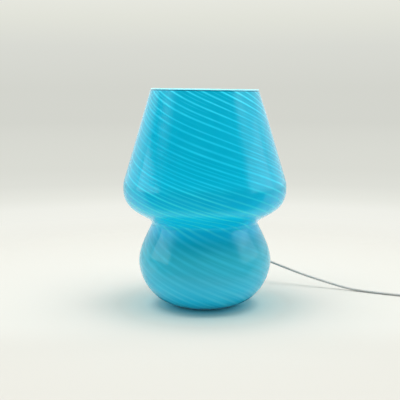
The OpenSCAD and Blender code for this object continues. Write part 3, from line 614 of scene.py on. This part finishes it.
class Tree:
    """A node tree and the short calls that build it."""

    def __init__(self, tree):
        self.tree = tree

    def add(self, kind, **settings):
        node = self.tree.nodes.new(kind)
        for name, value in settings.items():
            setattr(node, name, value)
        return node

    def join(self, source, socket):
        self.tree.links.new(source, socket)

    def put(self, socket, value):
        if isinstance(value, bpy.types.NodeSocket):
            self.join(value, socket)
        elif isinstance(value, tuple) and len(value) == 3 and socket.type == "RGBA":
            socket.default_value = (*value, 1)
        else:
            socket.default_value = value

    def math(self, operation, a, b=0.0, c=0.0, clamp=False):
        node = self.add("ShaderNodeMath", operation=operation, use_clamp=clamp)
        for socket, value in zip(node.inputs, (a, b, c)):
            self.put(socket, value)
        return node.outputs[0]

    def span(self, x, low, high):
        """A value from 0 to 1 spread evenly over a span."""
        return self.math("MULTIPLY_ADD", x, high - low, low)

    def range(self, x, low, high, to_low=0.0, to_high=1.0):
        """A value eased from one span to another, and held at its ends."""
        node = self.add("ShaderNodeMapRange", clamp=True, interpolation_type="SMOOTHSTEP")
        for socket, value in zip(node.inputs, (x, low, high, to_low, to_high)):
            self.put(socket, value)
        return node.outputs[0]

    def mix(self, share, a, b):
        node = self.add("ShaderNodeMix", data_type="RGBA")
        self.put(node.inputs["Factor"], share)
        for socket, value in zip((node.inputs[6], node.inputs[7]), (a, b)):
            self.put(socket, value)
        return node.outputs[2]

    def ramp(self, x, stops):
        """Colours of a list of places and colours, by a value in the units of its places."""
        ramp = self.add("ShaderNodeValToRGB")
        reach = stops[-1][0]
        self.put(ramp.inputs[0], self.math("DIVIDE", x, reach))
        elements = ramp.color_ramp.elements
        while len(elements) < len(stops):
            elements.new(0.5)
        for element, (at, colour) in zip(elements, stops):
            element.position = at / reach
            element.color = (*colour, 1)
        return ramp.outputs[0]


class Finish(Tree):
    """A material with one main shader."""

    def __init__(self, name):
        self.material = bpy.data.materials.new(name)
        self.material.use_nodes = True
        super().__init__(self.material.node_tree)
        self.tree.nodes.clear()
        self.shader = self.add("ShaderNodeBsdfPrincipled")
        self.output = self.add("ShaderNodeOutputMaterial")
        self.join(self.shader.outputs["BSDF"], self.output.inputs["Surface"])
        self.place = self.add("ShaderNodeTexCoord").outputs["Object"]

    def set(self, **values):
        """Sets shader sockets by name, with _ for a space."""
        for name, value in values.items():
            self.put(self.shader.inputs[name.replace("_", " ")], value)

    def noise(self, scale, detail=2.0, roughness=0.5, stretch=None):
        vector = self.place
        if stretch:
            move = self.add("ShaderNodeMapping")
            move.inputs["Scale"].default_value = stretch
            self.join(vector, move.inputs["Vector"])
            vector = move.outputs[0]
        node = self.add("ShaderNodeTexNoise")
        self.join(vector, node.inputs["Vector"])
        node.inputs["Scale"].default_value = scale
        node.inputs["Detail"].default_value = detail
        node.inputs["Roughness"].default_value = roughness
        return node.outputs[0]

    def patches(self, scale, detail=3.0, low=0.0, high=1.0):
        """Noise spread from one value to another."""
        return self.range(self.noise(scale, detail), *NOISE_SPAN, low, high)

    def bump(self, height, *, distance, strength):
        node = self.add("ShaderNodeBump")
        node.inputs["Strength"].default_value = strength
        node.inputs["Distance"].default_value = distance
        self.join(height, node.inputs["Height"])
        self.join(node.outputs[0], self.shader.inputs["Normal"])


# Colour of the glass down its outline, with painted light and shade: palest where the belly turns
# in over the neck under the overhang, painted light on that shaded underside, and darker on the
# base's upper shoulder below it
GLASS_AND_PAINTED_LIGHT_TONES = (
    (0.0, (0.0, 0.41, 0.61)), (0.08, (0.0, 0.42, 0.63)), (0.11, (0.0, 0.45, 0.68)),
    (0.124, (0.0, 0.52, 0.86)), (0.138, (0.0, 0.65, 1.0)), (0.164, (0.0, 0.63, 1.0)),
    (0.178, (0.0, 0.56, 0.87)), (0.188, (0.0, 0.45, 0.66)), (0.204, (0.022, 0.455, 0.61)),
    (0.222, (0.036, 0.485, 0.68)), (0.24, (0.026, 0.555, 0.83)), (0.255, (0.0, 0.55, 0.85)),
    (0.29, (0.0, 0.54, 0.84)))
# Colour and strength of the stripes down the same outline; their colour is palest at the belly,
# painted light as in the glass's tones
STRIPE_TONES = (
    (0.0, (0.045, 0.78, 1.0)), (0.04, (0.018, 0.71, 0.97)), (0.1, (0.015, 0.74, 1.0)),
    (0.135, (0.06, 0.88, 1.0)), (0.165, (0.05, 0.86, 1.0)), (0.185, (0.05, 0.68, 0.92)),
    (0.24, (0.09, 0.71, 0.95)), (0.29, (0.04, 0.7, 0.95)))
STRIPE_STRENGTH = (
    (0.0, 1.0), (0.03, 0.9), (0.05, 0.62), (0.08, 0.75), (0.11, 0.95), (0.135, 1.0),
    (0.165, 0.95), (0.185, 0.45), (0.235, 0.5), (0.255, 0.75), (0.29, 0.75))
# A stripe's drift, place aside, half width and fully pale middle, as shares of the room that each
# has round the glass, its least and greatest strength, and how noise changes that along it
STRIPE_DRIFT = 0.17
STRIPE_ASIDE = 0.1
STRIPE_HALF = (0.16, 0.26)
STRIPE_MIDDLE = 0.02
STRIPE_SHARE = (0.5, 0.95)
STRIPE_FADES = (0.7, 1.15)
# How much wider the stripes are on the base, and where they widen, down the outline
BASE_WIDER = 1.7
WIDENS_AT = (0.165, 0.19)
# Faint threads half way between them: their edges, where noise lets them show, their strength
THREAD_EDGES = (0.01, 0.12)
THREAD_SHOWS = (0.4, 0.62)
THREAD_SHARE = 0.45
# How far pale clouds lighten the glass, and how far the stripes stand up in its bump
CLOUD_SHARE = 0.1
STRIPE_BUMP = 0.12
# The lip's pale band, a painted highlight of light on the rim's top, and the dark seam below it,
# painted shade, down the outline
LIP_HIGHLIGHT = (0.3, 0.72, 0.8)
LIP_TO = 0.0003
SEAM_SHADE = (0.0, 0.17, 0.27)
SEAM_FROM = (0.0001, 0.0005)
SEAM_TO = (0.0009, 0.002)


def stripe_lines(f, count, down):
    """Strength of the stripes and threads, by the count of stripes round the glass and the
    distance down it. Each stripe draws its own place, width and strength."""
    turned = f.math("ADD", count, f.span(f.noise(9, 1), -STRIPE_DRIFT, STRIPE_DRIFT))
    index = f.math("FLOOR", f.math("ADD", turned, 0.5))
    luck = f.add("ShaderNodeTexWhiteNoise", noise_dimensions="1D")
    f.join(f.math("FLOORED_MODULO", index, STRIPES), luck.inputs["W"])
    drawn = f.add("ShaderNodeSeparateColor")
    f.join(luck.outputs["Color"], drawn.inputs[0])
    place, width, share = drawn.outputs
    aside = f.span(place, -STRIPE_ASIDE, STRIPE_ASIDE)
    off = f.math("ABSOLUTE", f.math("SUBTRACT", f.math("SUBTRACT", turned, index), aside))
    wider = f.range(down, *WIDENS_AT, 1, BASE_WIDER)
    half_width = f.math("MULTIPLY", f.span(width, *STRIPE_HALF), wider)
    strength = f.math("MULTIPLY", f.span(share, *STRIPE_SHARE), f.patches(22, 2, *STRIPE_FADES))
    line = f.math("MULTIPLY", f.range(off, STRIPE_MIDDLE, half_width, 1, 0), strength)
    between = f.math("ABSOLUTE", f.math("SUBTRACT", f.math("FRACT", turned), 0.5))
    thread = f.math("MULTIPLY", f.range(between, *THREAD_EDGES, 1, 0),
                    f.range(f.noise(13, 1), *THREAD_SHOWS, 0, THREAD_SHARE))
    strong = f.ramp(down, [(at, (v, v, v)) for at, v in STRIPE_STRENGTH])
    return f.math("MULTIPLY", f.math("ADD", line, thread), strong, clamp=True)


def striped_glass():
    """Opal glass in cyan, with pale twisted stripes laid in it, each its own width and strength,
    painted light and shade down its outline, and a painted highlight on the lip with painted shade
    below it.
    """
    f = Finish("striped_glass")
    uv = f.add("ShaderNodeUVMap", uv_map="stripes")
    split = f.add("ShaderNodeSeparateXYZ")
    f.join(uv.outputs[0], split.inputs[0])
    count, down = split.outputs[0], split.outputs[1]
    line = stripe_lines(f, count, down)
    pale = f.ramp(down, STRIPE_TONES)
    cloud = f.math("MULTIPLY", f.patches(16), CLOUD_SHARE)
    # The glass's colour carries painted light and shade down the outline
    striped = f.mix(line, f.mix(cloud, f.ramp(down, GLASS_AND_PAINTED_LIGHT_TONES), pale), pale)
    # A painted highlight on the lip and a painted dark line of shade just below it
    seam = f.math("MULTIPLY", f.range(down, *SEAM_FROM), f.range(down, *SEAM_TO, 1, 0))
    with_seam_shade = f.mix(seam, striped, SEAM_SHADE)
    f.set(Base_Color=f.mix(f.range(down, 0, LIP_TO, 1, 0), with_seam_shade, LIP_HIGHLIGHT),
          Roughness=f.range(f.noise(120, 2, 0.6), *NOISE_SPAN, 0.09, 0.15),
          IOR=1.5, Subsurface_Weight=0.25, Subsurface_Scale=0.004,
          Subsurface_Radius=(0.15, 0.9, 1.0), Specular_IOR_Level=0.5,
          Specular_Tint=(0.6, 0.92, 1.0))
    wave = f.math("ADD", f.noise(28, 2), f.math("MULTIPLY", line, STRIPE_BUMP))
    f.bump(wave, distance=0.0012, strength=0.35)
    return f.material


def sheath():
    """Matt grey plastic of the lead, in which light spreads a little at the skin."""
    f = Finish("lead_sheath")
    f.set(Base_Color=f.mix(f.patches(60), (0.36, 0.368, 0.355), (0.45, 0.455, 0.44)),
          Roughness=f.patches(400, 2, 0.38, 0.5), IOR=1.5,
          Subsurface_Weight=0.1, Subsurface_Scale=0.001, Coat_Weight=0.1)
    f.bump(f.noise(1600, 2), distance=0.0001, strength=0.25)
    return f.material


def moulded(name, dark, pale, roughness, grain=900, **more):
    """Moulded plastic with a fine grain and faint patches of wear."""
    f = Finish(name)
    f.set(Base_Color=f.mix(f.patches(45), dark, pale),
          Roughness=f.patches(140, 3, roughness - 0.06, roughness + 0.08), **more)
    f.bump(f.noise(grain, 3, 0.6), distance=0.00006, strength=0.5)
    return f.material


def metal(name, dark, pale, roughness, stretch):
    """Bare metal with fine marks of its turning, rolling or drawing."""
    f = Finish(name)
    marks = f.noise(900, 4, 0.6, stretch=stretch)
    f.set(Base_Color=f.mix(f.patches(80), dark, pale), Metallic=1.0,
          Roughness=f.range(marks, *NOISE_SPAN, roughness - 0.08, roughness + 0.1))
    f.bump(marks, distance=0.00003, strength=0.4)
    return f.material


def silicone():
    """Clear soft silicone, slightly milky."""
    f = Finish("clear_silicone")
    f.set(Base_Color=f.mix(f.patches(90), (0.72, 0.76, 0.76), (0.82, 0.85, 0.85)),
          Roughness=f.patches(300, 2, 0.28, 0.4), IOR=1.41,
          Transmission_Weight=0.45, Subsurface_Weight=0.3, Subsurface_Scale=0.002)
    f.bump(f.noise(1200, 2), distance=0.00005, strength=0.4)
    return f.material


def opal():
    """The bulb's white opal globe."""
    f = Finish("opal_globe")
    f.set(Base_Color=f.mix(f.patches(30), (0.84, 0.84, 0.81), (0.9, 0.9, 0.87)),
          Roughness=f.patches(200, 2, 0.16, 0.26), IOR=1.5,
          Subsurface_Weight=0.4, Subsurface_Scale=0.003)
    f.bump(f.noise(60, 2), distance=0.0004, strength=0.15)
    return f.material


def woven_tape():
    """Hook tape: a close weave of black yarn."""
    f = Finish("woven_tape")
    wave = f.add("ShaderNodeTexWave", wave_type="BANDS", bands_direction="DIAGONAL")
    f.join(f.place, wave.inputs["Vector"])
    wave.inputs["Scale"].default_value = 420
    wave.inputs["Distortion"].default_value = 3
    f.set(Base_Color=f.mix(wave.outputs["Fac"], (0.012, 0.012, 0.013), (0.03, 0.03, 0.032)),
          Roughness=f.patches(700, 2, 0.6, 0.85), Sheen_Weight=0.2)
    f.bump(wave.outputs["Fac"], distance=0.0002, strength=0.5)
    return f.material


def make_finishes():
    """The finish of each slot. A metal's marks are stretched round a turned piece, or along a
    rolled one."""
    turned, rolled = (1, 1, 30), (8, 8, 1)
    return {
        "striped_glass": striped_glass(),
        "clear_silicone": silicone(),
        "spring_steel": metal("spring_steel", (0.5, 0.5, 0.5), (0.62, 0.62, 0.61), 0.3, rolled),
        "brass": metal("brass", (0.62, 0.44, 0.17), (0.75, 0.56, 0.25), 0.28, turned),
        "holder_plastic": moulded("holder_plastic", (0.76, 0.76, 0.73), (0.82, 0.82, 0.79), 0.36),
        "ceramic": moulded("ceramic", (0.74, 0.72, 0.66), (0.84, 0.82, 0.77), 0.3, 500,
                           Coat_Weight=0.3),
        "lead_sheath": sheath(),
        "core_insulation": moulded("core_insulation", (0.28, 0.11, 0.05), (0.36, 0.15, 0.07), 0.4),
        "nickel": metal("nickel", (0.6, 0.59, 0.56), (0.72, 0.71, 0.68), 0.2, turned),
        "opal_globe": opal(),
        "bulb_plastic": moulded("bulb_plastic", (0.78, 0.78, 0.77), (0.84, 0.84, 0.83), 0.34),
        "black_glass": moulded("black_glass", (0.01, 0.01, 0.012), (0.025, 0.025, 0.03), 0.15, 300),
        "switch_plastic": moulded("switch_plastic", (0.4, 0.41, 0.4), (0.46, 0.47, 0.46), 0.4),
        "rocker_plastic": moulded("rocker_plastic", (0.3, 0.31, 0.3), (0.36, 0.37, 0.36), 0.34),
        "black_plastic": moulded("black_plastic", (0.015, 0.015, 0.016), (0.03, 0.03, 0.03), 0.42),
    }


def dress(obj, material):
    """Gives a piece its finish."""
    obj.data.materials.clear()
    obj.data.materials.append(material)


def dress_nodes(finishes):
    """Gives each carried-over node the finish of the slot that the record names for it."""
    slots = {part["node"]: part["material_slot"] for part in frame["record"]["subparts"]}
    tape = woven_tape()
    for name, obj in frame["nodes"].items():
        slot = slots[name]
        finish = tape if name == "coil_tie" else finishes[slot]
        for place in obj.material_slots:
            place.material = finish


# Stage, lamps and world

FLOOR_R = 8.0
FLOOR_SIDES = 96
# Colour of the lit sheet by distance from the lamp's axis, with a painted cyan tint close to the
# foot that stands for the light coming through the glass, and its colour further to the front,
# darker there as painted shade, with the place in Y where that takes over
FLOOR_TONES_WITH_PAINTED_TINT = (
    (0.0, (0.25, 0.9, 0.95)), (0.04, (0.3, 0.88, 0.93)), (0.056, (0.66, 0.82, 0.79)),
    (0.075, (0.6, 0.68, 0.64)), (0.1, (0.57, 0.595, 0.555)), (0.14, (0.59, 0.585, 0.545)))
FLOOR_FRONT_SHADE = (0.55, 0.54, 0.50)
FLOOR_FRONT_Y = (-0.08, -0.18)
# Distances over which the lit sheet gives way to its pale tone
FLOOR_FADES = (0.42, 0.66)
# Where gloss sees it dim: in front, by Y and by distance from the axis, and under the foot, painted
# shade for the foot's shadow
DIM_Y = (0.0, -0.1)
DIM_ROUND = (0.07, 0.2)
DIM_UNDER_SHADE = (FOOT_R + 0.02, FOOT_R + 0.06)
# Colour of its pale tone behind and round the lamp, by distance from its axis
PAPER = (
    (0.6, (0.885, 0.89, 0.83)), (0.8, (0.865, 0.872, 0.815)), (0.95, (0.80, 0.81, 0.75)),
    (1.2, (0.735, 0.745, 0.69)), (1.6, (0.705, 0.715, 0.66)), (5.0, (0.655, 0.665, 0.615)))
# The same beyond it, by the height of the line of sight
BACKDROP = (
    (0.0, (0.655, 0.665, 0.615)), (0.05, (0.695, 0.705, 0.655)), (0.085, (0.76, 0.77, 0.70)),
    (0.12, (0.82, 0.825, 0.765)), (0.4, (0.84, 0.845, 0.79)))
# Soft boxes: name, place, aim, size, watts, whether only gloss shows it
LAMPS = (
    ("overhead", (0, -0.04, 1.6), (0, 0, 0), (1.9, 1.4), 39, False),
    ("low_left", (-0.66, -0.1, 0.24), (0, -0.1, 0.24), (0.5, 0.24), 0.65, True),
    ("low_right", (0.66, -0.1, 0.28), (0, -0.1, 0.28), (0.5, 0.3), 0.35, True))
# Colours of the room, and the directions over which one gives way to the next. The front is where
# Y plus a share of X is low
ROOM_PALE = (0.50, 0.51, 0.48)
ROOM_BACK = (1.0, 1.02, 0.98)
ROOM_TOP = (0.16, 0.16, 0.16)
ROOM_DIM = (0.03, 0.03, 0.03)
ROOM_SIDE = (1.0, 1.02, 0.98)
BACK_Y = (0.0, 0.5)
TOP_Z = (0.4, 0.8)
FRONT_X_SHARE = 0.35
FRONT_EDGE = (-0.15, 0.15)
SIDE_X = (0.45, 0.9)
# Soft windows: side, nearest to the middle, place along Y, half width, lowest and highest
# direction, colour
WINDOWS = (
    (-1, 0.5, 0.3, 0.75, 0.34, 0.65, (1.55, 1.57, 1.55)),
    (1, 0.5, 0.08, 0.55, 0.1, 0.6, (0.9, 0.92, 0.9)),
    (1, 0.5, 0.15, 0.6, 0.37, 0.65, (2.2, 2.22, 2.2)))
# The share of a window's half width where it is full, and the widths of its other soft edges
WINDOW_FULL = 0.5
WINDOW_NEAR_EDGE = 0.25
WINDOW_LOW_EDGE = 0.09
WINDOW_HIGH_EDGE = 0.12


def make_floor():
    """A pale sheet, lit near the lamp, which keeps its pale tone further off, with a painted cyan
    tint of the light through the glass close to the foot and painted shade towards the front. In
    gloss it is dim in front, as where a table ends and a room begins, and dim under the foot,
    painted shade for the foot's shadow."""
    bpy.ops.mesh.primitive_circle_add(vertices=FLOOR_SIDES, radius=FLOOR_R, fill_type="NGON")
    floor = bpy.context.object
    floor.name = "floor"
    f = Finish("floor")
    distance = f.add("ShaderNodeVectorMath", operation="LENGTH")
    f.join(f.place, distance.inputs[0])
    radius = distance.outputs["Value"]
    split = f.add("ShaderNodeSeparateXYZ")
    f.join(f.place, split.inputs[0])
    y = split.outputs[1]
    path = f.add("ShaderNodeLightPath")
    camera, gloss = path.outputs["Is Camera Ray"], path.outputs["Is Glossy Ray"]
    direct = f.math("ADD", f.math("ADD", camera, gloss), path.outputs["Is Transmission Ray"],
                    clamp=True)
    # A painted cyan tint of light through the glass near the foot, and painted shade towards the
    # front
    lit = f.mix(f.range(y, *FLOOR_FRONT_Y), f.ramp(radius, FLOOR_TONES_WITH_PAINTED_TINT), FLOOR_FRONT_SHADE)
    f.set(Base_Color=lit, Roughness=0.9, Specular_IOR_Level=0.1)
    front = f.math("MULTIPLY", f.range(y, *DIM_Y), f.range(radius, *DIM_ROUND))
    # Painted shade under the foot, as gloss sees it
    under = f.range(radius, *DIM_UNDER_SHADE, 1, 0)
    dimmed = f.math("MULTIPLY", gloss, f.math("MAXIMUM", front, under))
    glow = f.add("ShaderNodeEmission")
    f.join(f.mix(dimmed, f.ramp(radius, PAPER), ROOM_DIM), glow.inputs["Color"])
    blend = f.add("ShaderNodeMixShader")
    far = f.math("MULTIPLY", f.range(radius, *FLOOR_FADES), direct)
    f.put(blend.inputs[0], f.math("MAXIMUM", far, dimmed))
    f.join(f.shader.outputs[0], blend.inputs[1])
    f.join(glow.outputs[0], blend.inputs[2])
    f.join(blend.outputs[0], f.output.inputs["Surface"])
    floor.data.materials.append(f.material)


def soft_box(name, at, target, size, watts, gloss_only):
    """A rectangular area light, which the camera doesn't see, turned to its aim."""
    data = bpy.data.lights.new(name, "AREA")
    data.shape = "RECTANGLE"
    data.size, data.size_y = size
    data.energy = watts
    lamp = bpy.data.objects.new(name, data)
    lamp.location = at
    aim = Vector(target) - Vector(at)
    lamp.rotation_euler = aim.to_track_quat("-Z", "Y").to_euler()
    lamp.visible_camera = False
    lamp.visible_diffuse = not gloss_only
    bpy.context.scene.collection.objects.link(lamp)


def make_lamps():
    """One soft box overhead, and a low one at each side that only gloss shows."""
    for row in LAMPS:
        soft_box(*row)


def window(f, side, near, along, up, width, low, high):
    """1 in the middle of a soft-edged window at one side of the room, 0 outside it."""
    across = f.range(f.math("ABSOLUTE", along), width * WINDOW_FULL, width, 1, 0)
    bottom = f.range(up, low, low + WINDOW_LOW_EDGE)
    top = f.range(up, high, high + WINDOW_HIGH_EDGE, 1, 0)
    seen = f.math("MULTIPLY", f.range(side, near, near + WINDOW_NEAR_EDGE), across)
    return f.math("MULTIPLY", seen, f.math("MULTIPLY", bottom, top))


def make_world():
    """A pale backdrop all round. Gloss and soft light see a room: pale behind the lamp, dim in
    front of it and overhead, with a soft window at each side."""
    world = bpy.data.worlds.new("room")
    bpy.context.scene.world = world
    world.use_nodes = True
    f = Tree(world.node_tree)
    back = world.node_tree.nodes["Background"]
    split = f.add("ShaderNodeSeparateXYZ")
    f.join(f.add("ShaderNodeTexCoord").outputs["Generated"], split.inputs[0])
    x, y, z = split.outputs
    path = f.add("ShaderNodeLightPath")
    gloss = path.outputs["Is Glossy Ray"]
    front = f.range(f.math("MULTIPLY_ADD", x, FRONT_X_SHARE, y), *FRONT_EDGE, 1, 0)
    room = f.mix(f.range(y, *BACK_Y), ROOM_PALE, ROOM_BACK)
    room = f.mix(f.range(z, *TOP_Z), room, ROOM_TOP)
    room = f.mix(f.math("MULTIPLY", front, gloss), room, ROOM_DIM)
    for side, near, place, width, low, high, colour in WINDOWS:
        outward = f.math("MULTIPLY", x, side)
        lit = window(f, outward, near, f.math("SUBTRACT", y, place), z, width, low, high)
        room = f.mix(lit, room, colour)
    sides = f.range(f.math("ABSOLUTE", x), *SIDE_X)
    room = f.mix(f.math("SUBTRACT", sides, gloss, clamp=True), room, ROOM_SIDE)
    seen = f.ramp(z, BACKDROP)
    f.join(f.mix(path.outputs["Is Camera Ray"], room, seen), back.inputs["Color"])


bpy.context.scene.view_settings.view_transform = "Standard"
make_camera()
cords = make_cords()
inner_lead, cores = make_inner_wires()
glass = make_glass()
fittings = make_fittings()
marks = make_marks()
finishes = make_finishes()
dress_nodes(finishes)
dress(glass, finishes["striped_glass"])
for piece, slot in fittings:
    dress(piece, finishes[slot])
for mark in marks:
    dress(mark, finishes["switch_plastic"])
for wire in [*cords, inner_lead]:
    dress(wire, finishes["lead_sheath"])
for wire in cores:
    dress(wire, finishes["core_insulation"])
make_floor()
make_lamps()
make_world()
